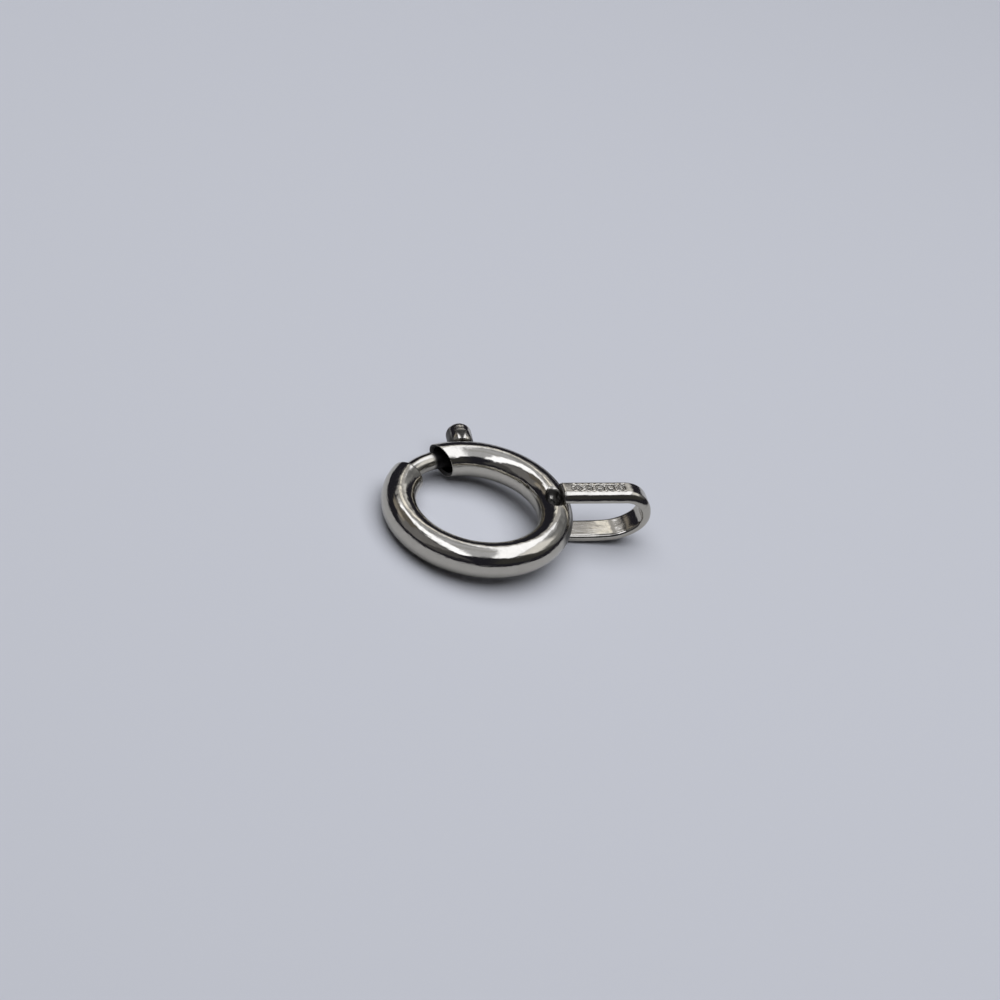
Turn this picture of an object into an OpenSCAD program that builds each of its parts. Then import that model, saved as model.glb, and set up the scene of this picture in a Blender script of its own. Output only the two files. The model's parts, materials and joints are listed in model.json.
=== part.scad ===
/* [Ring] */
// Outer diameter of the ring
ring_d = 6; // [5.5:0.1:7]
// Diameter of the round tube that the ring is bent from
tube_d = 1.1; // [1.08:0.01:1.2]
// Wall of the tube
tube_wall = 0.116; // [0.1:0.002:0.12]
// Half of the solid stretch at the loop, in degrees round the ring
stop_half = 6; // [5:0.5:7]

/* [Gate] */
// Where the tube ends at the mouth, in degrees round the ring from the loop
mouth_at = 105.5; // [104:0.5:108]
// How far the mouth's cut is turned from square, in degrees
mouth_skew = 14; // [0:1:18]
// Where the tube begins again at the catch, in degrees round the ring
catch_at = 140; // [138:0.5:142]

/* [Bolt] */
// Diameter of the bolt
bolt_d = 0.57; // [0.5:0.01:0.6]
// How far the bolt runs outside the middle of the tube
bolt_out = 0.07; // [0:0.01:0.08]
// Where the bolt's tail ends, in degrees round the ring
bolt_tail_at = 78; // [76:0.5:80]
// Where the bolt's tip ends, in degrees round the ring
bolt_tip_at = 147; // [146:0.5:148]
// Length of the nose that the bolt's tip is turned down to
nose_l = 0.16; // [0.14:0.01:0.2]
// Diameter of the nose
nose_d = 0.54; // [0.46:0.01:0.54]
// Rounding of the nose's edge
nose_round = 0.12; // [0.05:0.01:0.12]

/* [Trigger] */
// Where the knob stands with the gate shut, in degrees round the ring
knob_at = 87; // [86:0.5:89]
// Diameter of the knob
knob_d = 0.81; // [0.7:0.01:0.86]
// Height of the knob's end above the tube
knob_reach = 0.83; // [0.7:0.01:0.9]
// Gap between the knob and the tube
knob_gap = 0.04; // [0.03:0.01:0.06]
// Rounding of the edge at the knob's end
knob_round = 0.13; // [0.05:0.01:0.2]
// Diameter of the knob's stem
stem_d = 0.3; // [0.26:0.01:0.32]
// How far the knob slides when the gate is drawn open, in degrees
travel = 41; // [38:0.5:42]
// Gap between the stem and the sides of its slot
slot_gap = 0.05; // [0.03:0.01:0.08]

/* [Spring] */
// Diameter of the spring's wire
wire_d = 0.09; // [0.07:0.01:0.1]
// Outer diameter of the coil
coil_d = 0.68; // [0.6:0.01:0.72]
// Number of turns of the coil
turns = 11; // [8:1:12]

/* [Loop] */
// Distance from the ring's middle to the loop's far end
loop_reach = 5.6; // [5.2:0.05:6]
// Height of the loop's upper face above the ring's middle
loop_top = 0.82; // [0.8:0.01:0.9]
// Depth of the loop's lower face under the ring's middle
loop_bottom = 1.06; // [0.95:0.01:1.1]
// Width of the strip that the loop is bent from
strip_w = 0.84; // [0.7:0.01:0.9]
// Thickness of the strip
strip_t = 0.295; // [0.26:0.005:0.32]
// Rounding of the strip's outer edges
outer_round = 0.17; // [0.1:0.01:0.2]
// Rounding of the strip's inner edges
inner_round = 0.05; // [0.02:0.01:0.08]
// Distance from the ring's middle to the ends of the loop's arms
arm_from = 2.6; // [2.56:0.01:2.64]
// Diameter of the pegs that are staked into the tube
peg_d = 0.26; // [0.22:0.01:0.28]
// Distance from the arms' ends to the middle of the pegs
peg_inset = 0.2; // [0.16:0.01:0.2]
// How near the pegs come to the tube's middle
peg_depth = 0.25; // [0.24:0.01:0.3]

/* [Punch marks] */
// Radius of the punch that staked the joint
punch_r = 0.17; // [0.14:0.01:0.18]
// Depth of its two marks
punch_depth = 0.12; // [0.08:0.01:0.14]
// Distance from the ring's middle to the first stamp of the row
stamps_from = 3.12; // [3.08:0.01:3.2]
// Spacing of the stamps
stamp_pitch = 0.35; // [0.32:0.01:0.36]
// Width of the stamped lines
stamp_line = 0.06; // [0.04:0.01:0.07]
// Depth of the sunk panel that holds the row
panel_depth = 0.015; // [0.01:0.005:0.03]
// Depth of the stamps below the panel
stamp_depth = 0.035; // [0.02:0.005:0.05]

/* [Rest] */
// How far the clasp leans to the knob's side as it lies on a flat surface, in degrees
lean = 0.5; // [0:0.1:1]

/* [Hidden] */
$fn = 48;

tube_r = tube_d / 2;
ring_r = ring_d / 2 - tube_r;
bore_r = tube_r - tube_wall;
bolt_r = bolt_d / 2;
bolt_ring_r = ring_r + bolt_out;
stem_r = stem_d / 2;
// Gap between pieces that are fitted together
fit = 0.012;
// How far a cut runs past the face that it opens
over = 0.2;

// The slot leaves the same gap past the stem at both ends of its travel
slot_half = stem_r + slot_gap;
slot_pad = atan(slot_gap / (ring_d / 2));
slot_from = knob_at - travel - slot_pad;
slot_to = knob_at + slot_pad;

loop_h = loop_top + loop_bottom;
bend_r = loop_h / 2;
bend_z = (loop_top - loop_bottom) / 2;
bend_x = loop_reach - bend_r;
peg_x = arm_from + peg_inset;
nose_from = bolt_tip_at - atan(nose_l / bolt_ring_r);

// The row of stamps, each [number of sides, turn in degrees, width over corners]
stamps = [[48, 0, 0.3], [4, 0, 0.36], [4, 45, 0.38], [4, 0, 0.36], [48, 0, 0.3]];

// The two punch marks, as distance out from the ring's middle and across it
punch_places = [[2.31, -0.05], [2.61, 0.13]];
// How much narrower a mark is at its floor
punch_taper = 0.7;
// Plain metal between the panel and the rounded edges of the strip
panel_edge = 0.02;

// The coil is swept with this many sides to the wire and steps to a turn
wire_sides = 8;
turn_steps = 16;
coil_r = (coil_d - wire_d) / 2;
// Degrees round the ring between the coil's ends and what they press on
coil_end = 1.5;
coil_from = stop_half + coil_end;
coil_to = bolt_tail_at - coil_end;
coil_steps = turns * turn_steps;

// The clasp rests on the end of the loop's lower arm and on the ring's far side, which raises the loop
rest_span = [ring_r + arm_from, loop_bottom];
raise = atan(rest_span[1] / rest_span[0]) - asin(tube_r / norm(rest_span));
plane_tilt = acos(cos(raise) * cos(lean));
lift = ring_r * sin(plane_tilt) + tube_r;
far_left = ring_r * cos(raise) + tube_r;
far_right = bend_x * cos(raise) - bend_z * sin(raise) + bend_r;
near_side = ring_r * cos(lean) + tube_r;
knob_side = (ring_d / 2 + knob_reach) * sin(knob_at);
shift = [(far_left - far_right) / 2, (near_side - knob_side) / 2, lift];

// Height of the tube's upper surface at place p, and of the floor of a punch mark there
function tube_top(p) = sqrt(pow(tube_r, 2) - pow(norm(p) - ring_r, 2));
function punch_floor(p) = tube_top(p) - punch_depth;

// Lays the flat ring down as it rests, over the middle of its footprint
module lay() {
    translate(shift) rotate([-lean, -raise, 0]) children();
}

// A round rod of radius r bent round the ring's axis, from angle a to angle b
module bent_rod(r, at, a, b) {
    rotate([0, 0, a]) rotate_extrude(angle = b - a) translate([at, 0]) circle(r);
}

// Stands children at angle a of the ring, their +Z pointing straight out
module outwards(a) {
    rotate([0, 0, a]) rotate([0, 90, 0]) children();
}

// The space between the mouth and the catch, seen from above
module gate_gap() {
    reach = ring_d;
    linear_extrude(tube_d + 2 * over, center = true)
        intersection() {
            rotate(mouth_at) translate([ring_r, 0]) rotate(mouth_skew)
                translate([-reach, 0]) square([2 * reach, reach]);
            rotate(catch_at) translate([0, -reach]) square([reach, reach]);
        }
}

// The slot in which the knob's stem slides, with round ends
module stem_slot() {
    slot_deep = bore_r + over;
    rotate([0, 0, slot_from]) rotate_extrude(angle = slot_to - slot_from)
        translate([ring_r, -slot_half]) square([slot_deep, 2 * slot_half]);
    for (a = [slot_from, slot_to])
        outwards(a) translate([0, 0, ring_r]) cylinder(r = slot_half, h = slot_deep);
}

// The pegs of radius r that stand on the loop's two arms and end at height to above and below the middle
module pegs(r, to) {
    upper_root = loop_top - strip_t / 2;
    lower_root = loop_bottom - strip_t / 2;
    translate([peg_x, 0, to]) cylinder(r = r, h = upper_root - to);
    translate([peg_x, 0, -lower_root]) cylinder(r = r, h = lower_root - to);
}

module punch_marks() {
    for (p = punch_places)
        translate([p[0], p[1], punch_floor(p)])
            cylinder(r1 = punch_r * punch_taper, r2 = punch_r, h = punch_depth + over);
}

module ring_tube() {
    color("gainsboro") lay() difference() {
        rotate_extrude() translate([ring_r, 0]) circle(tube_r);
        bent_rod(bore_r, ring_r, stop_half, 360 - stop_half);
        gate_gap();
        stem_slot();
        pegs(peg_d / 2 + fit, peg_depth - fit);
        punch_marks();
    }
}

// The strip's cross-section: across the strip in X, the inner face at 0 and the outer face at strip_t
module strip_section() {
    half = strip_w / 2;
    difference() {
        translate([-half, 0]) square([strip_w, strip_t]);
        for (side = [-1, 1]) {
            translate([side * half, strip_t]) edge_rounding(outer_round, -side, -1);
            translate([side * half, 0]) edge_rounding(inner_round, -side, 1);
        }
    }
}

// What rounding to radius r cuts off a square corner at the origin
module edge_rounding(r, x_side, y_side) {
    scale([x_side, y_side]) difference() {
        translate([-over, -over]) square(r + over);
        translate([r, r]) circle(r);
    }
}

// The strip bent into a U: two straight arms and a half round bend
module bent_strip() {
    inner_r = bend_r - strip_t;
    for (flip = [0, 1])
        translate([arm_from, 0, bend_z]) mirror([0, 0, flip])
            translate([0, 0, inner_r]) rotate([90, 0, 90]) linear_extrude(bend_x - arm_from) strip_section();
    translate([bend_x, 0, bend_z]) rotate([90, 0, 0]) rotate([0, 0, -90])
        rotate_extrude(angle = 180) translate([inner_r, 0]) rotate(-90) mirror([1, 0]) strip_section();
}

// A sunk panel along the upper arm with a row of plain stamped rounds and squares
module stamped_panel() {
    panel_l = (len(stamps) - 1) * stamp_pitch;
    panel_r = strip_w / 2 - outer_round - panel_edge;
    translate([stamps_from, 0, loop_top - panel_depth]) {
        translate([0, -panel_r, 0]) cube([panel_l, 2 * panel_r, over]);
        for (x = [0, panel_l])
            translate([x, 0, 0]) cylinder(r = panel_r, h = over);
        for (i = [0:len(stamps) - 1])
            translate([i * stamp_pitch, 0, -stamp_depth]) stamp(stamps[i]);
    }
}

// One stamp: the outline of a round or a square, as a sunk line
module stamp(s) {
    rotate([0, 0, s[1]]) difference() {
        cylinder(d = s[2], h = over, $fn = s[0]);
        translate([0, 0, -over]) cylinder(d = s[2] - 2 * stamp_line, h = 3 * over, $fn = s[0]);
    }
}

// What the second punch cut away as it went past the end of the upper arm
module punch_clearance() {
    p = punch_places[1];
    translate([p[0], p[1], punch_floor(p)]) cylinder(r = punch_r + fit, h = loop_top);
}

module end_loop() {
    color("gainsboro") lay() {
        difference() {
            bent_strip();
            rotate_extrude() translate([ring_r, 0]) circle(tube_r + fit);
            punch_clearance();
            stamped_panel();
        }
        difference() {
            pegs(peg_d / 2, peg_depth);
            punch_clearance();
        }
    }
}

module gate_bolt() {
    color("silver") lay() difference() {
        union() {
            bent_rod(bolt_r, bolt_ring_r, bolt_tail_at, nose_from);
            rotate([0, 0, nose_from]) translate([bolt_ring_r, 0, 0]) rotate([-90, 0, 0])
                rounded_pin(nose_d / 2, nose_l, nose_round);
        }
        outwards(knob_at) translate([0, 0, ring_r - bolt_r]) cylinder(r = stem_r + fit, h = bolt_d + over);
    }
}

// A round pin that stands on the XY plane, with its upper edge rounded to radius e
module rounded_pin(r, h, e) {
    rotate_extrude() {
        square([r, h - e]);
        square([r - e, h]);
        translate([r - e, h - e]) circle(e);
    }
}

module trigger_knob() {
    stem_from = ring_r - bolt_r + fit;
    base = ring_d / 2 + knob_gap;
    color("gainsboro") lay() outwards(knob_at) {
        translate([0, 0, stem_from]) cylinder(r = stem_r, h = base - stem_from + knob_gap);
        translate([0, 0, base]) rounded_pin(knob_d / 2, knob_reach - knob_gap, knob_round);
    }
}

// Points of the coil: rings of wire_sides points along a helix that follows the tube
function coil_angle(i) = coil_from + (coil_to - coil_from) * i / coil_steps;
function coil_point(i, k) =
    let (a = coil_angle(i), turn = 360 * i / turn_steps, side = 360 * k / wire_sides,
         out = coil_r + wire_d / 2 * cos(side), along = wire_d / 2 * sin(side),
         r = ring_r + out * cos(turn), z = out * sin(turn))
    [r * cos(a) - along * sin(a), r * sin(a) + along * cos(a), z];

module coil_spring() {
    last = coil_steps * wire_sides;
    points = [for (i = [0:coil_steps], k = [0:wire_sides - 1]) coil_point(i, k)];
    sides = [for (i = [0:coil_steps - 1], k = [0:wire_sides - 1])
        let (n = (k + 1) % wire_sides, b = i * wire_sides)
        [b + k, b + n, b + wire_sides + n, b + wire_sides + k]];
    ends = [[for (k = [wire_sides - 1:-1:0]) k], [for (k = [0:wire_sides - 1]) last + k]];
    color("darkgray") lay() polyhedron(points, concat(sides, ends));
}

ring_tube();
end_loop();
gate_bolt();
trigger_knob();
coil_spring();
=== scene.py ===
import json
import math

import bmesh
import bpy
import numpy as np
from mathutils import Matrix, Vector


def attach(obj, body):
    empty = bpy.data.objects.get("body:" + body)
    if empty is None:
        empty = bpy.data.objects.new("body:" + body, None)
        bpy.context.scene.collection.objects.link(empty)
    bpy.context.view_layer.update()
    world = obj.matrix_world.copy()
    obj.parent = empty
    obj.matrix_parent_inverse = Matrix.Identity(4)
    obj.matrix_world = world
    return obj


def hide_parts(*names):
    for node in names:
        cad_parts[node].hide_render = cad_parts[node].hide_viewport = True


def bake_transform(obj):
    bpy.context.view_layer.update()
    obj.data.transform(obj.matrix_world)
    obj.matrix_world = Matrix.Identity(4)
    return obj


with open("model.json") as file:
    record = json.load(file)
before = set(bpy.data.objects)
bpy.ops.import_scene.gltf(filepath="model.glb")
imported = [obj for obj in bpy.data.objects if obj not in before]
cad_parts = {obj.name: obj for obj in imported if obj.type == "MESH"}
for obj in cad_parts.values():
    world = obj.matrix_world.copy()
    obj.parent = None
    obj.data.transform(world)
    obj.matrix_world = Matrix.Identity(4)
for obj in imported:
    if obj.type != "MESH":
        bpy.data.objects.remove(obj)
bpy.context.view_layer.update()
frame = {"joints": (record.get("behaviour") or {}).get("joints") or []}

# Sizes of the clasp in millimetres and degrees, in the flat ring's own axes:
# X from the ring's middle to the loop, Z along the ring's axis, angles counted from the loop to the knob.
RING_R = 2.45
TUBE_R = 0.55
BORE_R = 0.434
STOP_HALF = 6
# The end of the tube that takes the bolt's tip, and the rounds of its rim outside and at the bore
CATCH_AT = 140
RIM_ROUND = 0.08
CATCH_EDGE = 0.0175
# Degrees between the tube's outlines outside, near the loop and inside, and how far near the loop reaches
OUTLINE_STEP = 0.9
FINE_STEP = 0.4
INSIDE_STEP = 2.0
NEAR_LOOP = 8
# How many degrees they keep off the catch and the mouth, outside and inside
CATCH_CLEAR = (3, 2)
MOUTH_CLEAR = (1, 4)
# Points round the tube, and how much closer together they lie on top of it
TUBE_POINTS = 120
CROWDING = 0.4
# The mouth is cut askew and its upper edge stands ahead; a countersink thins its rim. The outlines turn
# askew over the last degrees before it
MOUTH_AT = 105.5
MOUTH_BLEND = 20
MOUTH_SKEW = 14
MOUTH_LEAN = 0.12
MOUTH_ROUND = 0.015
MOUTH_RIM = 0.005
COUNTERSINK = 0.08
# The middle of the gap between the catch and the mouth, for counting angles on round the whole tube
SEAM_AT = (MOUTH_AT + CATCH_AT) / 2
# How deep under the tube's surface the metal stays bright, at angles from the catch past the punch mark to
# the mouth, and the share of that depth over which it fades. Deeper, in the bore, the rims, the slot and the
# punch marks, it turns to the grease colour, as grease and as painted shade
POLISH_AT = [CATCH_AT + 5, 350, 440, 455]
POLISH_DEPTH = [0.07, 0.03, 0.03, 0.012]
POLISH_FADE = 0.8
# From the joint to the mouth painted shade darkens the outer flank, which starts
# this far out from the tube's middle line: the dark band between the tube and the loop
FLANK_SHADE_SPAN = (322, 458)
FLANK_SHADE_FADE = 8
FLANK_AT = [318, 350, 375]
FLANK_OUT = [0.47, 0.42, 0.24]
FLANK_FADE = 0.1
# How far the metal turns to the dark grease colour, from 0 to 1: grease and painted shade in the tube's
# recesses, painted shade on the strip's ends at the joint, on the tube's outer flank by the loop and on the
# knob's flanks, a painted dark reflection in the knob's tongue, and plain grease and haze on the panel, in
# the stamps and on the wire
FULL_GREASE_AND_SHADE = 0.93
FLANK_SHADE = 0.8
KNOB_DARK_REFLECTION = 0.9
KNOB_FLANK_SHADE = 0.85
PANEL_DULL = 0.05
STAMP_DULL = 0.35
WIRE_DULL = 0.1

BOLT_R = 0.285
BOLT_RING_R = 2.52
BOLT_TAIL_AT = 78
BOLT_TIP_AT = 147
TIP_ROUND = 0.14
TAIL_BEVEL = 0.03
# At rest the bolt is inside the tube, and painted shade darkens it up to here; this many degrees fade that
# out
BOLT_SHOWS_AT = 113.5
BOLT_SHADE_FADE = 5

KNOB_AT = 87
KNOB_R = 0.405
KNOB_BASE = 3.04
KNOB_TOP = 3.83
FOOT_DROP = 0.12
FOOT_LENGTH = 0.24
DOME_DROP = 0.13
DOME_LENGTH = 0.17
STEM_R = 0.15
# The tongue of painted dark reflection on the knob: where it ends, its half width at the foot and there, how
# far it sits aside, and how softly its sides and its end fade
TONGUE_TIP = 3.44
TONGUE_HALF = (0.02, 0.21)
TONGUE_SIDE = 0.03
TONGUE_SOFT = 0.06
TONGUE_TIP_SOFT = 0.14
# Painted shade darkens the knob's flanks past this many degrees from its top, and stops this far short of its
# end
KNOB_FLANK_FROM = 54
KNOB_FLANK_SOFT = 14
SHADE_OFF_END = 0.03
SHADE_OFF_END_SOFT = 0.04
TRAVEL = 41
SLOT_HALF = 0.2
SLOT_PAD = 0.95

WIRE_R = 0.045
COIL_R = 0.295
COIL_TURNS = 11
COIL_GAP = 1.5

LOOP_REACH = 5.6
LOOP_TOP = 0.82
LOOP_BOTTOM = 1.06
STRIP_W = 0.84
STRIP_T = 0.295
# The strip's section changes from the upper arm to the lower one. Each row holds how far its inner face
# stands out from the straight strip's, the round of its inner edges, and the outer edges' width across
# and through
UPPER_SECTION = np.array([-0.03, 0.035, 0.21, 0.285])
LOWER_SECTION = np.array([0.03, 0.10, 0.10, 0.10])
# 1 leaves the rolled edges elliptic, and more rubs their middles flatter
EDGE_WEAR = 1.3
# The lower arm sags by this much between its end and the bend
LOWER_SAG = 0.032
END_ROUND = 0.075
ARM_FROM = 2.6
PEG_R = 0.13
PEG_X = 2.8
# The lower peg's top, hidden in the tube, and how far its foot goes in under the plain strip's inner face.
# The upper peg is out of sight and left out
PEG_TOP = -0.3
PEG_SUNK = 0.1
# The upper arm keeps this far off the tube
ARM_CLEAR = 0.003
# The outlines of the stamped arm lie this close, and this far past its stamps
STAMP_GRID = 0.0125
STAMP_MARGIN = 0.25
BEND_R = (LOOP_TOP + LOOP_BOTTOM) / 2
BEND_Z = (LOOP_TOP - LOOP_BOTTOM) / 2
BEND_X = LOOP_REACH - BEND_R
# The lower arm starts to bend this much before the upper one, and the bend ends at this angle
BEND_EASE = 0.34
BEND_END = -84

PUNCH_PLACES = [(2.35, -0.08), (2.55, -0.03)]
# A spot on the far side of the mark left clear of the painted shade, so that it mirrors a glint there, and
# its radius
GLINT_PLACE = (2.37, 0.10)
GLINT_R = 0.04
# Each mark's half width, half length and depth
PUNCH_SIZES = [(0.31, 0.44, 0.24), (0.15, 0.26, 0.20)]
# The punch's side: share of its radius, and share of its depth above the floor, with a dent in its nose
PUNCH_SIDE = [(0.001, 0.16), (0.1, 0.14), (0.2, 0.04), (0.3, 0), (0.45, 0.05), (0.62, 0.25), (0.76, 0.5),
              (0.88, 0.78), (1, 0.96), (1.12, 1.06), (1.22, 1.3), (1.22, 5)]

STAMPS_FROM = 3.12
STAMP_PITCH = 0.35
STAMP_LINE = 0.06
PANEL_HALF = 0.23
PANEL_DEPTH = 0.015
STAMP_DEPTH = 0.035
# How softly the panel's and the stamps' edges slope
STAMP_SOFT = 0.02
# Within this of the loop's top the strip's face can be stamped. It is a little dull from the first depth on,
# and duller from this share of a stamp's full depth on
STAMPED_WITHIN = 0.08
PANEL_DULL_FROM = 0.01
STAMP_DULL_FROM = 0.7
HAMMER_DEPTH = 0.0018
# The hammering's waves along and across the arm in radians a mm, how their rows wander, and how much
# steeper one side of each wave is
HAMMER_WAVES = (66, 58)
WANDER_WAVES = (23, 31)
WANDER = (1.9, 1.6)
HAMMER_LEAN = 0.6
# The row of plain stamps: kind of outline, turn in degrees, half its width
STAMPS = [
    ("square", 45, 0.11),
    ("round", 0, 0.12),
    ("round", 0, 0.15),
    ("square", 0, 0.134),
    ("square", 45, 0.127),
]

# The ring's axes in the frame, from the joint that the bolt slides on
slide = frame["joints"][0]
ring_axis = Vector(slide["axis"]).normalized()
to_loop = Vector((0, 1, 0)).cross(ring_axis).normalized()
to_knob = ring_axis.cross(to_loop)
MM = 0.001
LAY = (
    Matrix.Translation(Vector(slide["pos_m"]))
    @ Matrix((to_loop, to_knob, ring_axis)).transposed().to_4x4()
    @ Matrix.Scale(MM, 4)
)


# Shapes

def polar(angle, r, z):
    """Points of the ring's own axes from angles in degrees, distances from its axis and heights."""
    a = np.radians(angle)
    return np.stack(np.broadcast_arrays(r * np.cos(a), r * np.sin(a), z), -1)


def around(count, crowding=0.0):
    """Angles round a tube's section in degrees, closer together at its top where crowding is above 0."""
    s = np.arange(count) / count
    return np.degrees(2 * np.pi * s + crowding * np.cos(2 * np.pi * s))


def arc(centre_x, centre_y, rx, ry, start, end, steps):
    """Points of an elliptic arc in a plane, from one angle in degrees to another."""
    t = np.radians(np.linspace(start, end, steps + 1))
    return [(centre_x + rx * math.cos(a), centre_y + ry * math.sin(a)) for a in t]


def soft_step(x, edge, width):
    """0 below the edge and 1 above it, with a rounded shoulder."""
    s = np.clip((x - edge) / width + 0.5, 0, 1)
    return s * s * (3 - 2 * s)


def skin(rings):
    """The closed surface through a row of closed outlines with the same number of points each."""
    rings = np.asarray(rings)
    rows, count = rings.shape[:2]
    faces = []
    for i in range(rows - 1):
        for j in range(count):
            k = (j + 1) % count
            faces.append((i * count + j, i * count + k, (i + 1) * count + k, (i + 1) * count + j))
    faces.append(tuple(range(count - 1, -1, -1)))
    faces.append(tuple(range((rows - 1) * count, rows * count)))
    return rings.reshape(-1, 3), faces


def turned(profile, count):
    """The surface of a profile of (radius, height) points turned round Z."""
    t = np.linspace(0, 360, count, endpoint=False)
    return skin([polar(t, r, np.full(count, z)) for r, z in profile])


def piece(name, shell):
    """A mesh object in the frame's metres, made of one closed surface."""
    points, faces = shell
    mesh = bpy.data.meshes.new(name)
    mesh.from_pydata(points.tolist(), [], faces)
    mesh.transform(LAY)
    obj = bpy.data.objects.new(name, mesh)
    bpy.context.scene.collection.objects.link(obj)
    face_outwards(obj)
    return obj


def face_outwards(obj):
    """Turns every face of a closed mesh to look out of the metal."""
    mesh = bmesh.new()
    mesh.from_mesh(obj.data)
    bmesh.ops.recalc_face_normals(mesh, faces=mesh.faces)
    mesh.to_mesh(obj.data)
    mesh.free()


def add_shell(obj, shell):
    """Adds one more closed surface to a piece."""
    extra = piece("shell", shell)
    merged = bmesh.new()
    merged.from_mesh(obj.data)
    merged.from_mesh(extra.data)
    merged.to_mesh(obj.data)
    merged.free()
    bpy.data.objects.remove(extra)


def carve(obj, cutters):
    """Cuts the cutters out of the object and removes them."""
    for cutter in cutters:
        cut = obj.modifiers.new("cut", "BOOLEAN")
        cut.operation = "DIFFERENCE"
        cut.solver = "EXACT"
        cut.object = cutter
    carved = bpy.data.meshes.new_from_object(obj.evaluated_get(bpy.context.evaluated_depsgraph_get()))
    obj.modifiers.clear()
    obj.data = carved
    for cutter in cutters:
        bpy.data.objects.remove(cutter)


def ring_points(obj):
    """The points of a piece in the ring's own axes, in millimetres."""
    flat = np.empty(3 * len(obj.data.vertices))
    obj.data.vertices.foreach_get("co", flat)
    back = np.array(LAY.inverted())
    return flat.reshape(-1, 3) @ back[:3, :3].T + back[:3, 3]


def surface(obj, grain, dull_and_shade, sharp_angle):
    """Smooth shading with crisp edges where the surface turns by more than the angle in degrees, and what
    the materials read: the place in the straight metal in mm, its grain along Z, and how far it turns to the
    dark grease colour there, as grease and as painted shade."""
    mesh = obj.data
    mesh.shade_smooth()
    mesh.set_sharp_from_angle(angle=math.radians(sharp_angle))
    straight = mesh.attributes.new("grain", "FLOAT_VECTOR", "POINT")
    straight.data.foreach_set("vector", grain.astype(np.float32).ravel())
    dull_shade_layer = mesh.attributes.new("dull_and_shade", "FLOAT", "POINT")
    dull_shade_layer.data.foreach_set("value", dull_and_shade.astype(np.float32))


# Ring

def mouth_angle(r, z):
    """Where the cut at the mouth crosses a distance from the ring's axis and a height."""
    skewed = np.degrees(np.arcsin(RING_R * math.sin(math.radians(MOUTH_SKEW)) / r))
    return MOUTH_AT + MOUTH_SKEW - skewed + np.degrees(MOUTH_LEAN / RING_R) * z / TUBE_R


def catch_angle(r, z):
    """The catch is cut square across the tube."""
    return np.full_like(r, float(CATCH_AT))


def tube_outline(t, r, angle):
    """One outline of the tube, r from its middle line, at an angle or at one for each of its points."""
    return polar(angle, RING_R + r * np.cos(np.radians(t)), r * np.sin(np.radians(t)))


def rim(t, cut, side, outer_round, inner_edge):
    """The end face of the tube's wall, from outside to bore. Side is 1 where the metal lies ahead."""
    edge = arc(TUBE_R - outer_round, outer_round, outer_round, outer_round, 0, -90, 6) + inner_edge
    outlines = []
    for r, setback in edge:
        from_axis = RING_R + r * np.cos(np.radians(t))
        angle = cut(from_axis, r * np.sin(np.radians(t))) + side * np.degrees(setback / from_axis)
        outlines.append(tube_outline(t, r, angle))
    return outlines


def follow_mouth(a, r, t):
    """An angle along the tube, bent to follow the askew mouth over its last degrees."""
    share = np.clip((a - 360 - MOUTH_AT + MOUTH_BLEND) / MOUTH_BLEND, 0, 1)
    cut = mouth_angle(RING_R + r * np.cos(np.radians(t)), r * np.sin(np.radians(t)))
    return a + share * (cut - MOUTH_AT)


def tube_top(x, y):
    """Height of the tube's upper surface over a place."""
    return np.sqrt(np.maximum(TUBE_R**2 - (np.hypot(x, y) - RING_R) ** 2, 0))


def punch(number):
    """The tapered punch that left a mark, as a cutter."""
    (x, y), size = PUNCH_PLACES[number], np.array(PUNCH_SIZES[number])
    points, faces = turned(PUNCH_SIDE, count=64)
    return piece("punch", (points * size + np.array([x, y, tube_top(x, y) - size[2]]), faces))


def stem_slot():
    """The slot with round ends in which the knob's stem slides, as a cutter."""
    first, last = KNOB_AT - TRAVEL - SLOT_PAD, KNOB_AT + SLOT_PAD
    outer_r = RING_R + 1.5 * TUBE_R
    swing = math.degrees(SLOT_HALF / (RING_R + TUBE_R))
    ends = arc(0, 0, swing, SLOT_HALF, 0, 90, 12)
    thin = SLOT_HALF / 100
    outline = [(first - run, max(half, thin)) for run, half in ends]
    outline += [(a, SLOT_HALF) for a in np.linspace(first, last, 30)[1:-1]]
    outline += [(last + run, max(half, thin)) for run, half in reversed(ends)]
    corners = np.array([RING_R, outer_r, outer_r, RING_R])
    return piece("slot", skin([polar(a, corners, half * np.array([-1, -1, 1, 1])) for a, half in outline]))


def along_ring(points, middle_r, seam):
    """The places in a straight tube or rod: outwards, upwards and along it."""
    from_axis = np.hypot(points[:, 0], points[:, 1])
    angle = np.degrees(np.arctan2(points[:, 1], points[:, 0])) % 360
    angle = np.where(angle < seam, angle + 360, angle)
    return np.stack([from_axis - middle_r, points[:, 2], np.radians(angle) * middle_r], 1)


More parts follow.
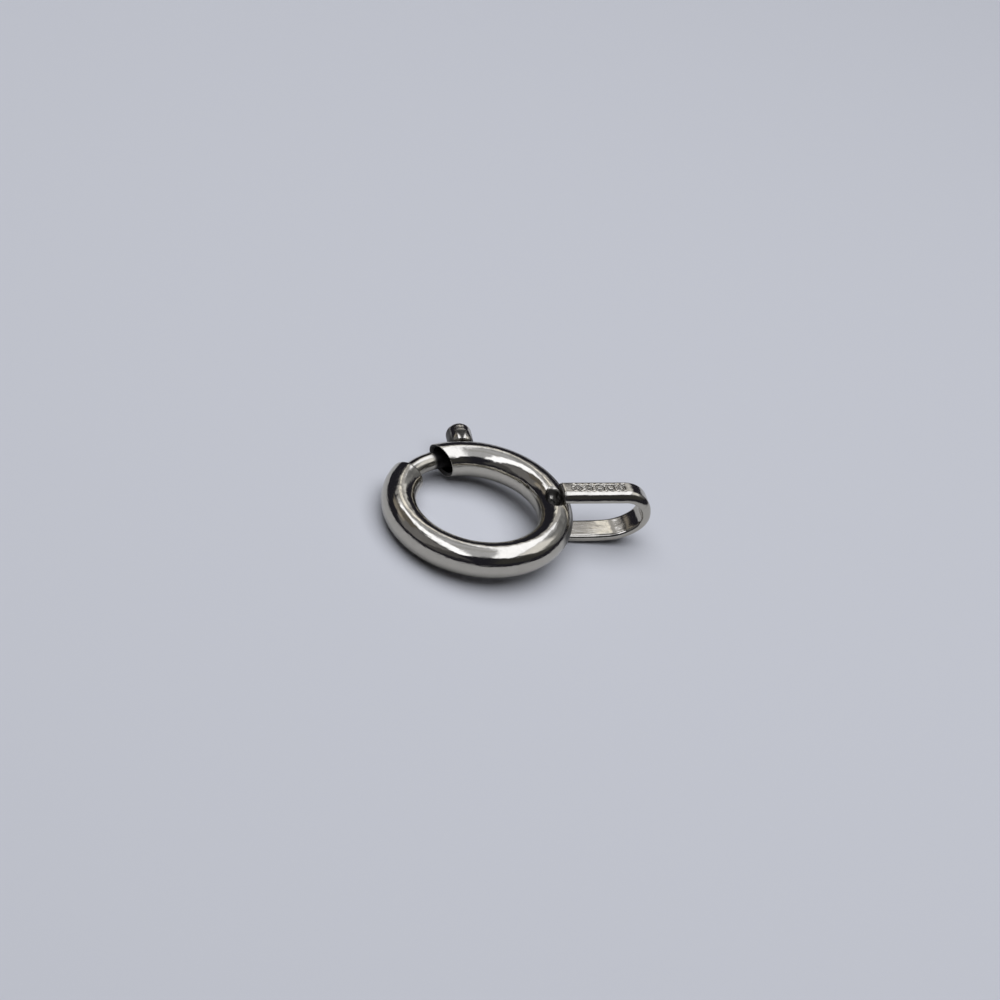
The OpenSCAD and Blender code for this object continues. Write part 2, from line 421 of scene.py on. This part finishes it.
def ring_tube():
    t = around(TUBE_POINTS, CROWDING)
    # The inside of the catch, its rim, the outside all the way round, the mouth's rim and its inside
    catch_inside = np.arange(360 - STOP_HALF, CATCH_AT + CATCH_CLEAR[1], -INSIDE_STEP)
    rings = [tube_outline(t, BORE_R, a) for a in catch_inside]
    small_edge = arc(BORE_R + CATCH_EDGE, CATCH_EDGE, CATCH_EDGE, CATCH_EDGE, 270, 180, 4)
    rings += rim(t, catch_angle, 1, RIM_ROUND, small_edge)[::-1]
    before_loop = np.arange(CATCH_AT + CATCH_CLEAR[0], 360 - NEAR_LOOP, OUTLINE_STEP)
    near_loop = np.arange(360 - NEAR_LOOP, 360 + NEAR_LOOP, FINE_STEP)
    past_loop = np.arange(360 + NEAR_LOOP, 360 + MOUTH_AT - MOUTH_CLEAR[0], OUTLINE_STEP)
    for a in np.concatenate([before_loop, near_loop, past_loop]):
        rings.append(tube_outline(t, TUBE_R, follow_mouth(a, TUBE_R, t)))
    countersink = [(TUBE_R - MOUTH_ROUND - MOUTH_RIM, 0), (BORE_R, COUNTERSINK)]
    rings += rim(t, mouth_angle, -1, MOUTH_ROUND, countersink)
    for a in np.arange(360 + MOUTH_AT - MOUTH_CLEAR[1], 360 + STOP_HALF, -INSIDE_STEP):
        rings.append(tube_outline(t, BORE_R, follow_mouth(a, BORE_R, t)))
    obj = piece("polished_ring", skin(rings))
    carve(obj, [stem_slot(), punch(0), punch(1)])
    points = ring_points(obj)
    straight = along_ring(points, RING_R, SEAM_AT)
    under_surface = TUBE_R - np.hypot(straight[:, 0], straight[:, 1])
    angle = np.degrees(straight[:, 2] / RING_R)
    polished = np.interp(angle, POLISH_AT, POLISH_DEPTH)
    glint = np.hypot(points[:, 0] - GLINT_PLACE[0], points[:, 1] - GLINT_PLACE[1])
    # Grease colour with painted shade below the bright depth: in the bore, the rims, the slot and the punch
    # marks
    dull_and_shade = soft_step(under_surface, polished, POLISH_FADE * polished)
    dull_and_shade = dull_and_shade * soft_step(glint, GLINT_R, GLINT_R / 2)
    # Painted shade on the outer flank by the loop
    first, last = FLANK_SHADE_SPAN
    ring_flank_shade = soft_step(angle, first, FLANK_SHADE_FADE) * (1 - soft_step(angle, last, FLANK_SHADE_FADE))
    ring_flank_shade = ring_flank_shade * soft_step(straight[:, 0], np.interp(angle, FLANK_AT, FLANK_OUT), FLANK_FADE)
    surface(obj, straight, np.maximum(FULL_GREASE_AND_SHADE * dull_and_shade, FLANK_SHADE * ring_flank_shade), sharp_angle=40)
    return obj


# End loop

def worn_edge(flat, across, through):
    """One outer edge of the strip, from its outer face to its side: rolled round, then rubbed flatter."""
    turn = np.radians(np.linspace(90, 0, 19))
    base = STRIP_T - through
    return [(flat + across * math.cos(a) ** EDGE_WEAR, base + through * math.sin(a) ** EDGE_WEAR)
            for a in turn]


def strip_section(inner, inner_round, across, through):
    """Points of the strip's section as (across, out from the inner face), round from its outer face."""
    half = STRIP_W / 2
    flat = half - across
    section = [(y, STRIP_T) for y in np.linspace(-flat, flat, 42)]
    section += worn_edge(flat, across, through)[1:]
    section += arc(half - inner_round, inner + inner_round, inner_round, inner_round, 0, -90, 8)[1:]
    section += [(y, inner) for y in np.linspace(half - inner_round, inner_round - half, 18)[1:-1]]
    section += arc(inner_round - half, inner + inner_round, inner_round, inner_round, 270, 180, 8)
    section += [(-y, out) for y, out in worn_edge(flat, across, through)[::-1]][1:-1]
    return np.array(section)


def stamped_depth(x, y):
    """How deep the hammered panel and its stamps lie under the upper arm's face."""
    length = (len(STAMPS) - 1) * STAMP_PITCH
    past_ends = np.maximum(np.abs(x - STAMPS_FROM - length / 2) - length / 2, 0)
    panel = 1 - soft_step(np.hypot(past_ends, y), PANEL_HALF, STAMP_SOFT)
    u = HAMMER_WAVES[0] * x + WANDER[0] * np.sin(WANDER_WAVES[0] * y)
    v = HAMMER_WAVES[1] * y + WANDER[1] * np.sin(WANDER_WAVES[1] * x)
    hammered = np.sin(u + HAMMER_LEAN * np.sin(u)) + np.sin(v + HAMMER_LEAN * np.sin(v))
    depth = panel * (PANEL_DEPTH + HAMMER_DEPTH * hammered)
    for i, (kind, turn, half) in enumerate(STAMPS):
        a = math.radians(turn)
        u, v = x - STAMPS_FROM - i * STAMP_PITCH, y
        u, v = u * math.cos(a) + v * math.sin(a), v * math.cos(a) - u * math.sin(a)
        reach = np.hypot(u, v) if kind == "round" else np.maximum(abs(u), abs(v))
        line = soft_step(reach, half - STAMP_LINE, STAMP_SOFT) - soft_step(reach, half, STAMP_SOFT)
        depth = depth + STAMP_DEPTH * line
    return depth


def strip_path():
    """The strip's middle line as (x, z), how far its section is drawn in, and 1 on the stamped arm."""
    middle_r = BEND_R - STRIP_T / 2
    nose = arc(END_ROUND, END_ROUND, END_ROUND, END_ROUND, 270, 180, 6)
    stamps_end = STAMPS_FROM + (len(STAMPS) - 1) * STAMP_PITCH + STAMP_MARGIN
    fine = np.arange(STAMPS_FROM - STAMP_MARGIN, stamps_end, STAMP_GRID)
    arm = np.concatenate([np.linspace(ARM_FROM + END_ROUND, fine[0], 12)[1:-1], fine])
    path = [(ARM_FROM + back, BEND_Z + middle_r, drawn, 1) for drawn, back in nose]
    path += [(x, BEND_Z + middle_r, 0, 1) for x in arm if x < BEND_X - 0.01]
    for a in np.radians(np.linspace(90, BEND_END, 88)):
        eased = BEND_EASE * soft_step(-a, math.pi / 4, math.pi / 2)
        path.append((BEND_X - eased + middle_r * math.cos(a), BEND_Z + middle_r * math.sin(a), 0, 0))
    from_x, from_z = path[-1][:2]
    for share in np.linspace(0, 1, 60)[1:-1]:
        x = from_x + share * (ARM_FROM + END_ROUND - from_x)
        z = from_z + share * (BEND_Z - middle_r - from_z)
        path.append((x, z - 4 * LOWER_SAG * share * (1 - share), 0, 0))
    path += [(ARM_FROM + back, BEND_Z - middle_r, drawn, 0) for drawn, back in nose[::-1]]
    return np.array(path)


def end_loop():
    path = strip_path()
    tangent = np.gradient(path[:, :2], axis=0)
    tangent /= np.linalg.norm(tangent, axis=1)[:, None]
    rings = []
    for (x, z, drawn, stamped), (run, rise) in zip(path, tangent):
        lower = soft_step(-run, 0, 2)
        section = strip_section(*(UPPER_SECTION + lower * (LOWER_SECTION - UPPER_SECTION)))
        across = section[:, 0] * (1 - 2 * drawn / STRIP_W)
        out = (section[:, 1] - STRIP_T / 2) * (1 - 2 * drawn / STRIP_T)
        if stamped:
            out = out - stamped_depth(x, across) * (section[:, 1] > STRIP_T - 0.001)
        ring = np.stack([x - rise * out, across, z + run * out], 1)
        if stamped:
            ring[:, 2] = np.maximum(ring[:, 2], tube_top(ring[:, 0], ring[:, 1]) + ARM_CLEAR)
        rings.append(ring)
    obj = piece("stamped_end_loop", skin(rings))
    peg = polar(np.linspace(0, 360, 32, endpoint=False), PEG_R, 0.0)
    peg_foot = STRIP_T - LOOP_BOTTOM - PEG_SUNK
    add_shell(obj, skin([peg + np.array([PEG_X, 0, z]) for z in (peg_foot, PEG_TOP)]))
    points = ring_points(obj)
    surface(obj, along_strip(points), strip_dullness_and_shade(points), sharp_angle=40)
    return obj


def along_strip(points):
    """The places in the straight strip: outwards, across and along it."""
    x, across, z = points.T
    past = np.maximum(x - BEND_X, 0)
    angle = np.arctan2(z - BEND_Z, past)
    out = np.hypot(past, z - BEND_Z)
    along = np.minimum(x - BEND_X, 0) * np.sign(z - BEND_Z) + (math.pi / 2 - angle) * BEND_R
    return np.stack([out, across, along], 1)


def strip_dullness_and_shade(points):
    """Dull in the stamps and a little on the hammered panel, and painted shade on the ends at the joint."""
    x, y, z = points.T
    # Painted shade on the strip's end faces at the joint
    ends = 1 - soft_step(x, ARM_FROM + END_ROUND / 2, END_ROUND)
    ends = ends * (1 - soft_step(z, LOOP_TOP - END_ROUND, 0.04))
    depth = np.where((z > LOOP_TOP - STAMPED_WITHIN) & (x < BEND_X), stamped_depth(x, y), 0)
    on_panel = soft_step(depth, PANEL_DULL_FROM, PANEL_DULL_FROM)
    in_stamps = soft_step(depth, STAMP_DULL_FROM * (PANEL_DEPTH + STAMP_DEPTH), STAMP_SOFT)
    return np.maximum(PANEL_DULL * on_panel + STAMP_DULL * in_stamps, FULL_GREASE_AND_SHADE * ends)


# Bolt, knob and spring

def gate_bolt():
    t = around(64)
    # Place along the bolt and radius of each outline, from the bevelled tail to the rounded tip
    length = math.radians(BOLT_TIP_AT - BOLT_TAIL_AT) * BOLT_RING_R
    outlines = [(0, BOLT_R - TAIL_BEVEL), (TAIL_BEVEL, BOLT_R)]
    outlines += [(s, BOLT_R) for s in np.linspace(2 * TAIL_BEVEL, length - 1.5 * TIP_ROUND, 90)]
    tip = arc(BOLT_R - TIP_ROUND, length - TIP_ROUND, TIP_ROUND, TIP_ROUND, 0, 90, 10)
    outlines += [(s, r) for r, s in tip]
    rings = []
    for s, r in outlines:
        angle = BOLT_TAIL_AT + math.degrees(s / BOLT_RING_R)
        rings.append(polar(angle, BOLT_RING_R + r * np.cos(np.radians(t)), r * np.sin(np.radians(t))))
    obj = piece("sliding_bolt", skin(rings))
    straight = along_ring(ring_points(obj), BOLT_RING_R, 0)
    angle = np.degrees(straight[:, 2] / BOLT_RING_R)
    # Painted shade on the bolt where it runs into the mouth
    surface(obj, straight, soft_step(-angle, -BOLT_SHOWS_AT, BOLT_SHADE_FADE), sharp_angle=35)
    return obj


def trigger_knob():
    foot_to, dome_from = KNOB_BASE + FOOT_LENGTH, KNOB_TOP - DOME_LENGTH
    profile = [(0.001, RING_R), (STEM_R, RING_R), (STEM_R, KNOB_BASE)]
    profile += arc(KNOB_R - FOOT_DROP, foot_to, FOOT_DROP, FOOT_LENGTH, -90, 0, 16)
    profile += [(KNOB_R, h) for h in np.linspace(foot_to, dome_from, 10)[1:-1]]
    profile += arc(KNOB_R - DOME_DROP, dome_from, DOME_DROP, DOME_LENGTH, 0, 90, 20)
    profile += [(share * (KNOB_R - DOME_DROP), KNOB_TOP) for share in (0.6, 0.3, 0.005)]
    points, faces = turned(profile, count=96)
    a = math.radians(KNOB_AT)
    knob_axes = np.array([[-math.sin(a), math.cos(a), 0], [0, 0, 1], [math.cos(a), math.sin(a), 0]])
    obj = piece("trigger_knob_head", (points @ knob_axes, faces))
    side, up, out = knob_axes @ ring_points(obj).T
    # The turning marks run round the knob, so its grain does too, with its seam underneath
    grain = np.stack([np.hypot(side, up), out, np.arctan2(side, up) * KNOB_R], 1)
    # A painted dark reflection lies in a tongue on top of the foot, and painted shade on the flanks and
    # underneath
    tongue = np.interp(out, [KNOB_BASE, TONGUE_TIP], TONGUE_HALF)
    dark_reflection = 1 - soft_step(abs(side - TONGUE_SIDE), tongue, TONGUE_SOFT)
    dark_reflection = dark_reflection * (1 - soft_step(out, TONGUE_TIP, TONGUE_TIP_SOFT))
    shaded_flanks = soft_step(np.degrees(np.arctan2(abs(side), up)), KNOB_FLANK_FROM, KNOB_FLANK_SOFT)
    shaded_flanks = shaded_flanks * (1 - soft_step(out, KNOB_TOP - SHADE_OFF_END, SHADE_OFF_END_SOFT))
    surface(obj, grain, np.maximum(KNOB_DARK_REFLECTION * dark_reflection, KNOB_FLANK_SHADE * shaded_flanks), sharp_angle=35)
    return obj


def coil_spring():
    first, last = STOP_HALF + COIL_GAP, BOLT_TAIL_AT - COIL_GAP
    t = np.radians(around(12))
    steps = 32
    rings = []
    for i in range(COIL_TURNS * steps + 1):
        turn = 2 * math.pi * i / steps
        a = first + (last - first) * i / (COIL_TURNS * steps)
        out = COIL_R + WIRE_R * np.cos(t)
        along = WIRE_R * np.sin(t)
        from_axis = RING_R + out * math.cos(turn)
        rings.append(polar(a + np.degrees(along / from_axis), from_axis, out * math.sin(turn)))
    obj = piece("wire_spring", skin(rings))
    points = ring_points(obj)
    surface(obj, points, np.full(len(points), WIRE_DULL), sharp_angle=60)
    return obj


# Materials

def linear(hex_colour):
    """An sRGB hex colour as linear RGBA."""
    parts = [int(hex_colour[i : i + 2], 16) / 255 for i in (1, 3, 5)]
    return [c / 12.92 if c <= 0.04045 else ((c + 0.055) / 1.055) ** 2.4 for c in parts] + [1]


def add(tree, kind, settings, links):
    """Adds a node. A setting is one of its options, or the value of a socket by name or number."""
    node = tree.nodes.new(kind)
    for key, value in settings.items():
        if isinstance(key, int) or key in node.inputs:
            node.inputs[key].default_value = value
        else:
            setattr(node, key, value)
    for socket, source in links.items():
        tree.links.new(source, node.inputs[socket])
    return node


# The dark grease and oxide colour that rubbing leaves where the polish never reaches, which also serves as
# painted shade in recesses, gaps and on flanks, and how much rougher it makes the metal
GREASE_AND_SHADE = "#232120"
GREASE_AND_SHADE_ROUGH = 0.4


def metal(name, light, dark, gloss, swell, lines, stretch):
    """A metal whose tint wanders from light to dark. Gloss is its lowest and highest roughness, swell the
    depth and the size in mm of its soft unevenness, lines the depth and width in mm of the marks along its
    grain, and stretch how much longer than wide those marks are."""
    material = bpy.data.materials.new(name)
    material.use_nodes = True
    tree = material.node_tree
    tree.nodes.clear()
    grain = add(tree, "ShaderNodeAttribute", {"attribute_name": "grain"}, {}).outputs["Vector"]
    dull_and_shade = add(tree, "ShaderNodeAttribute", {"attribute_name": "dull_and_shade"}, {}).outputs["Fac"]
    drawn_out = add(tree, "ShaderNodeMapping", {"Scale": (1, 1, 1 / stretch)}, {"Vector": grain}).outputs[0]
    wide = add(tree, "ShaderNodeMapping", {"Scale": (1, 1, 0.6)}, {"Vector": grain}).outputs[0]
    waves = add(tree, "ShaderNodeTexNoise", {"Scale": 1 / swell[1], "Detail": 3, "Roughness": 0.45},
                {"Vector": wide})
    marks = add(tree, "ShaderNodeTexNoise", {"Scale": 1 / lines[1], "Detail": 3, "Roughness": 0.6},
                {"Vector": drawn_out})
    haze = add(tree, "ShaderNodeTexNoise", {"Scale": 4, "Detail": 4, "Roughness": 0.6}, {"Vector": grain})
    sheen = add(tree, "ShaderNodeMapRange",
                {"From Min": 0.35, "From Max": 0.7, "To Min": gloss[0], "To Max": gloss[1]},
                {"Value": haze.outputs[0]})
    rough = add(tree, "ShaderNodeMath", {"operation": "MULTIPLY_ADD", 1: GREASE_AND_SHADE_ROUGH},
                {0: dull_and_shade, 2: sheen.outputs[0]})
    tint = add(tree, "ShaderNodeMix", {"data_type": "RGBA", 6: linear(light), 7: linear(dark)},
               {0: haze.outputs[0]})
    # Where the mesh marks grease or painted shade, the tint turns to the dark grease colour
    colour = add(tree, "ShaderNodeMix", {"data_type": "RGBA", 7: linear(GREASE_AND_SHADE)},
                 {0: dull_and_shade, 6: tint.outputs[2]})
    uneven = add(tree, "ShaderNodeBump", {"Strength": 1, "Distance": swell[0] * MM},
                 {"Height": waves.outputs[0]})
    scored = add(tree, "ShaderNodeBump", {"Strength": 1, "Distance": lines[0] * MM},
                 {"Height": marks.outputs[0], "Normal": uneven.outputs[0]})
    shader = add(tree, "ShaderNodeBsdfPrincipled", {"Metallic": 1}, {
        "Base Color": colour.outputs[2], "Roughness": rough.outputs[0], "Normal": scored.outputs[0]})
    add(tree, "ShaderNodeOutputMaterial", {}, {"Surface": shader.outputs[0]})
    return material


def dress(obj, material, node, body):
    """Gives a piece its material and its place in the assembly."""
    obj.data.materials.clear()
    obj.data.materials.append(material)
    if body:
        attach(obj, body)
    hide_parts(node)


# Tumbled and then buffed by hand: near mirror, with soft waves that bend the edges of what it mirrors
ring_metal = metal("white_gold_tumble_polished", "#C3BEB3", "#B1ADA2",
                   (0.06, 0.13), (0.018, 0.5), (0.0042, 0.08), 7)
# Rolled strip, bent cold: a little hazier, with long rolling lines
loop_metal = metal("white_gold_rolled_strip", "#C2BDB2", "#AFABA0",
                   (0.08, 0.17), (0.020, 0.6), (0.0018, 0.06), 8)
# Drawn through a die: fine lines along the wire under a light buffing
bolt_metal = metal("white_gold_drawn_wire", "#C1BCB1", "#ADA99E",
                   (0.09, 0.18), (0.008, 0.4), (0.0010, 0.05), 10)
# Turned on a lathe: faint rings round the knob, rounded over by the polish
knob_metal = metal("white_gold_turned", "#C2BDB2", "#AFABA0",
                   (0.08, 0.17), (0.022, 0.3), (0.0015, 0.05), 8)
# Hard steel wire, never polished: an even grey sheen
spring_metal = metal("stainless_spring_wire", "#9B9A98", "#83817E",
                     (0.22, 0.34), (0.002, 0.4), (0.0008, 0.03), 1)

dress(ring_tube(), ring_metal, "ring_tube", "clasp")
dress(end_loop(), loop_metal, "end_loop", "clasp")
dress(gate_bolt(), bolt_metal, "gate_bolt", "bolt")
dress(trigger_knob(), knob_metal, "trigger_knob", "bolt")


def spring_end(angle):
    """Where the spring's middle line ends, in the frame."""
    return LAY @ Vector(polar(angle, RING_R, 0.0))


spring = coil_spring()
spring_end(STOP_HALF + COIL_GAP)
spring_end(BOLT_TAIL_AT - COIL_GAP)
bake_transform(spring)
dress(spring, spring_metal, "coil_spring", None)


# Camera, at the photograph's place, in millimetres and degrees

AIM = Vector((-0.6557, -0.3983, 1.1841))
DISTANCE = 92.592
AZIMUTH, ELEVATION, ROLL = 24.869, 36.177, 19.580
# The photo's width and the focal length that fits it, both in its pixels
PHOTO_WIDTH = 1000
FOCAL_LENGTH = 3000
FIELD = 2 * math.atan(PHOTO_WIDTH / 2 / FOCAL_LENGTH)

camera = bpy.data.objects.new("camera", bpy.data.cameras.new("camera"))
bpy.context.scene.collection.objects.link(camera)
turn, rise = math.radians(AZIMUTH), math.radians(ELEVATION)
look = Vector((math.sin(turn) * math.cos(rise), math.cos(turn) * math.cos(rise), -math.sin(rise)))
tip = Matrix.Rotation(math.radians(ROLL), 3, "Z").to_quaternion()
camera.rotation_mode = "QUATERNION"
camera.rotation_quaternion = look.to_track_quat("-Z", "Y") @ tip
camera.location = (AIM - look * DISTANCE) * MM
camera.data.sensor_width = 36
camera.data.lens = camera.data.sensor_width / 2 / math.tan(FIELD / 2)
camera.data.clip_start, camera.data.clip_end = 0.001, 20
bpy.context.scene.camera = camera


# Floor, light and what the metal mirrors

# Half the floor's width in metres
FLOOR_HALF = 1.5


def stage_floor():
    """Smooth uncoated paper: no shine, so that only the clasp's soft shadow shows on it."""
    corners = [(FLOOR_HALF * x, FLOOR_HALF * y, 0) for x, y in ((-1, -1), (1, -1), (1, 1), (-1, 1))]
    mesh = bpy.data.meshes.new("paper_floor")
    mesh.from_pydata(corners, [], [(0, 1, 2, 3)])
    obj = bpy.data.objects.new("paper_floor", mesh)
    bpy.context.scene.collection.objects.link(obj)
    material = bpy.data.materials.new("matt_paper")
    material.use_nodes = True
    shader = material.node_tree.nodes["Principled BSDF"]
    shader.inputs["Base Color"].default_value = linear("#CACDD7")
    shader.inputs["Roughness"].default_value = 0.9
    shader.inputs["Specular IOR Level"].default_value = 0.1
    mesh.materials.append(material)


# The soft box: its height in metres, its edges as slopes sideways and away over upwards, and its radiance
BOX_HEIGHT = 0.12
BOX_ACROSS = (-0.66, 0.80)
BOX_AWAY = (-0.67, 0.72)
BOX_RADIANCE = 2.32


def soft_box():
    """A soft rectangular white light overhead that lights the floor and casts the shadows. The metal
    mirrors the studio's own patches in its place."""
    light = bpy.data.lights.new("soft_box", "AREA")
    light.shape = "RECTANGLE"
    light.size = (BOX_ACROSS[1] - BOX_ACROSS[0]) * BOX_HEIGHT
    light.size_y = (BOX_AWAY[1] - BOX_AWAY[0]) * BOX_HEIGHT
    light.energy = BOX_RADIANCE * math.pi * light.size * light.size_y
    obj = bpy.data.objects.new("soft_box", light)
    obj.location = (sum(BOX_ACROSS) / 2 * BOX_HEIGHT, sum(BOX_AWAY) / 2 * BOX_HEIGHT, BOX_HEIGHT)
    obj.visible_glossy = False
    bpy.context.scene.collection.objects.link(obj)


# What the polished metal mirrors, each patch by its slopes sideways and away over upwards from the clasp,
# how far it leans sideways on its way, its softness, colour and radiance. A later patch covers earlier ones
SURROUNDINGS = {
    "left_wall": ((-4.0, -0.75), (-0.84, 1.3), 0, 0.12, "#F2F2FA", 0.26),
    "left_wall_low": ((-4.0, -0.72), (-2.6, -0.84), 0, 0.12, "#F2F2FA", 0.11),
    "right_wall_low": ((0.3, 3.5), (-3.0, -0.5), 0, 0.3, "#F4F4F4", 0.06),
    "right_wall": ((1.3, 3.5), (-0.9, 0.3), 0, 0.2, "#F4F4F6", 0.10),
    "right_far_wall": ((0.62, 2.6), (0.2, 0.95), 0, 0.15, "#EEF1FA", 0.28),
    "right_far_wall_near": ((0.9, 2.6), (0.3, 0.66), 0, 0.14, "#EEF1FA", 0.40),
    "right_far_end": ((1.7, 4.0), (-0.2, 1.5), 0, 0.25, "#EEF1FA", 0.22),
    "right_far_top": ((0.62, 1.7), (0.95, 1.35), 0, 0.10, "#EEF1FA", 0.38),
    "left_far_top": ((-1.8, -0.5), (0.72, 1.14), 0, 0.10, "#FFF6EC", 0.48),
    "left_far_low": ((-1.5, -0.8), (1.2, 1.6), 0, 0.08, "#FFF6EC", 0.36),
    "ceiling": ((-0.62, 0.75), (-0.67, 0.86), 0, 0.08, "#EAEEFB", 0.79),
    "ceiling_beam": ((-0.62, 0.75), (0.52, 0.70), 0, 0.05, "#EEF1FA", 0.48),
    "ceiling_beam_near": ((-0.62, 0.75), (0.0, 0.2), 0, 0.07, "#EEF1FA", 0.64),
    "wall_top": ((-0.62, 0.66), (0.88, 1.33), 0, 0.06, "#F8F8FE", 0.60),
    "wall_top_bright": ((0.02, 0.29), (0.98, 1.24), 0, 0.05, "#FFFDFA", 1.7),
    "right_far_window": ((-0.40, 0.10), (1.2, 1.55), 0.7, 0.09, "#F6F7FC", 1.1),
    "left_far_wall": ((-1.0, -0.53), (0.36, 1.14), 0, 0.06, "#FFF6EC", 0.19),
    "side_window": ((0.57, 1.45), (-0.54, 0.34), 0, 0.10, "#FAFBFF", 1.25),
    "side_ceiling": ((1.4, 2.1), (-0.4, 0.5), 0, 0.25, "#F2F4F8", 0.34),
    "left_window": ((-0.61, -0.245), (-0.74, 1.02), 0.04, 0.04, "#EEF2FF", 2.5),
    "right_window": ((0.17, 0.54), (-0.74, 0.98), 0.06, 0.05, "#EEF2FF", 2.25),
    "left_pillar": ((-1.3, -0.67), (0.34, 0.88), 0.32, 0.035, "#FFF6EC", 0.17),
}
# The dark room behind the patches
FAR_DARK = (0.024, 0.024, 0.034, 1)
# Rays flatter than this count as this steep, so that the slopes stay finite
LEAST_UP = 0.03


def studio_world():
    world = bpy.data.worlds.new("studio")
    bpy.context.scene.world = world
    world.cycles_visibility.diffuse = False
    world.use_nodes = True
    tree = world.node_tree
    tree.nodes.clear()
    ray = add(tree, "ShaderNodeTexCoord", {}, {}).outputs["Generated"]
    parts = add(tree, "ShaderNodeSeparateXYZ", {}, {0: ray}).outputs
    up = add(tree, "ShaderNodeMath", {"operation": "MAXIMUM", 1: LEAST_UP}, {0: parts[2]}).outputs[0]
    slopes = [add(tree, "ShaderNodeMath", {"operation": "DIVIDE"}, {0: part, 1: up}).outputs[0]
              for part in parts[:2]]
    total = None
    for across, away, lean, soft, colour, radiance in SURROUNDINGS.values():
        mask = None
        leaning = add(tree, "ShaderNodeMath", {"operation": "MULTIPLY_ADD", 1: -lean},
                      {0: slopes[1], 2: slopes[0]})
        for slope, (low, high) in ((leaning.outputs[0], across), (slopes[1], away)):
            for edge, way in ((low, 1), (high, -1)):
                step = add(tree, "ShaderNodeMapRange",
                           {"interpolation_type": "SMOOTHSTEP", "From Min": edge - way * soft,
                            "From Max": edge + way * soft},
                           {"Value": slope}).outputs[0]
                mask = step if mask is None else add(
                    tree, "ShaderNodeMath", {"operation": "MULTIPLY"}, {0: mask, 1: step}).outputs[0]
        shine = [radiance * c for c in linear(colour)[:3]] + [1]
        below = {0: mask} if total is None else {0: mask, 6: total}
        total = add(tree, "ShaderNodeMix", {"data_type": "RGBA", 6: FAR_DARK, 7: shine}, below).outputs[2]
    background = add(tree, "ShaderNodeBackground", {}, {0: total})
    add(tree, "ShaderNodeOutputWorld", {}, {0: background.outputs[0]})


stage_floor()
studio_world()
soft_box()
bpy.context.scene.view_settings.view_transform = "Standard"
